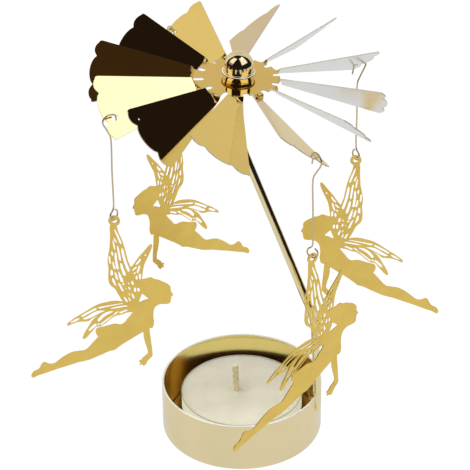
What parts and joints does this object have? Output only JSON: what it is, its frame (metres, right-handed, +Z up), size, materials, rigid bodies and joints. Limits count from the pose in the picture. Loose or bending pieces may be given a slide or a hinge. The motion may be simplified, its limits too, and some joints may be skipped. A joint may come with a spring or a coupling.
{
  "type": "candle carousel",
  "caption": "Tealight carousel: a pressed metal cup with a clip-on bent stem, a pitched-blade sheet rotor turning on a needle point, and flat winged charms hanging from wire hooks.",
  "frame": {"origin": "centre of the cup's flat underside", "axes": "+Z up along the cup's and needle's axis; +X towards the side on which the stem stands on the rim, which is 22 degrees from it towards -Y; -Y is the side seen in the picture"},
  "size_m": [0.1274, 0.102, 0.1326],
  "materials": {
    "cup": "polished pale gold plating",
    "stem": "polished gold plating",
    "rotor": "mirror-polished thin sheet",
    "hub": "mirror-polished",
    "charm": "satin gold plating",
    "wire": "plated wire",
    "needle": "drawn steel",
    "socket": "turned",
    "foil": "thin pressed foil",
    "wax": "smooth ivory wax",
    "wick": "braided cotton",
    "tab": "stamped sheet"
  },
  "bodies": {
    "base": {"cup": "cup"},
    "stand": {"stem": "stem", "rim_clip": "stem", "pivot_needle": "needle"},
    "rotor": {"rotor": "rotor", "hub_ring": "hub", "hub_cap": "hub", "bearing_socket": "socket"},
    "tealight": {"tealight_cup": "foil", "wax": "wax", "wick": "wick", "wick_tab": "tab"},
    "hook_1": {"hook_1": "wire"},
    "fairy_1": {"fairy_1": "charm"},
    "hook_2": {"hook_2": "wire"},
    "fairy_2": {"fairy_2": "charm"},
    "hook_3": {"hook_3": "wire"},
    "fairy_3": {"fairy_3": "charm"},
    "hook_4": {"hook_4": "wire"},
    "fairy_4": {"fairy_4": "charm"}
  },
  "joints": [
    {"name": "stem_lift", "type": "slide", "parent": "base", "child": "stand", "axis": [0, 0, 1], "range_m": [0, 0.008]},
    {"name": "tealight_lift", "type": "slide", "parent": "base", "child": "tealight", "axis": [0, 0, 1], "range_m": [0, 0.02]},
    {"name": "rotor_spin", "type": "hinge", "parent": "stand", "child": "rotor", "pos_m": [0, 0, 0.12861], "axis": [0, 0, 1], "continuous": true},
    {"name": "hook_1_swing", "type": "hinge", "parent": "rotor", "child": "hook_1", "pos_m": [-0.03614, -0.02008, 0.12222], "axis": [-0.4857, 0.8741, 0], "range_deg": [-5, 35]},
    {"name": "hook_2_swing", "type": "hinge", "parent": "rotor", "child": "hook_2", "pos_m": [-0.02019, 0.03589, 0.12128], "axis": [0.8716, 0.4903, 0], "range_deg": [-5, 35]},
    {"name": "hook_3_swing", "type": "hinge", "parent": "rotor", "child": "hook_3", "pos_m": [0.03557, 0.01939, 0.11839], "axis": [0.4786, -0.878, 0], "range_deg": [-5, 35]},
    {"name": "hook_4_swing", "type": "hinge", "parent": "rotor", "child": "hook_4", "pos_m": [0.02105, -0.03466, 0.1175], "axis": [-0.8547, -0.5191, 0], "range_deg": [-5, 35]},
    {"name": "fairy_1_turn", "type": "hinge", "parent": "hook_1", "child": "fairy_1", "pos_m": [-0.0368, -0.01931, 0.08774], "axis": [0, 0, 1], "range_deg": [-45, 20]},
    {"name": "fairy_2_turn", "type": "hinge", "parent": "hook_2", "child": "fairy_2", "pos_m": [-0.01992, 0.03606, 0.08897], "axis": [0, 0, 1], "range_deg": [-45, 20]},
    {"name": "fairy_3_turn", "type": "hinge", "parent": "hook_3", "child": "fairy_3", "pos_m": [0.03568, 0.01964, 0.08475], "axis": [0, 0, 1], "range_deg": [-20, 45]},
    {"name": "fairy_4_turn", "type": "hinge", "parent": "hook_4", "child": "fairy_4", "pos_m": [0.02044, -0.03509, 0.08414], "axis": [0, 0, 1], "range_deg": [-20, 45]}
  ]
}
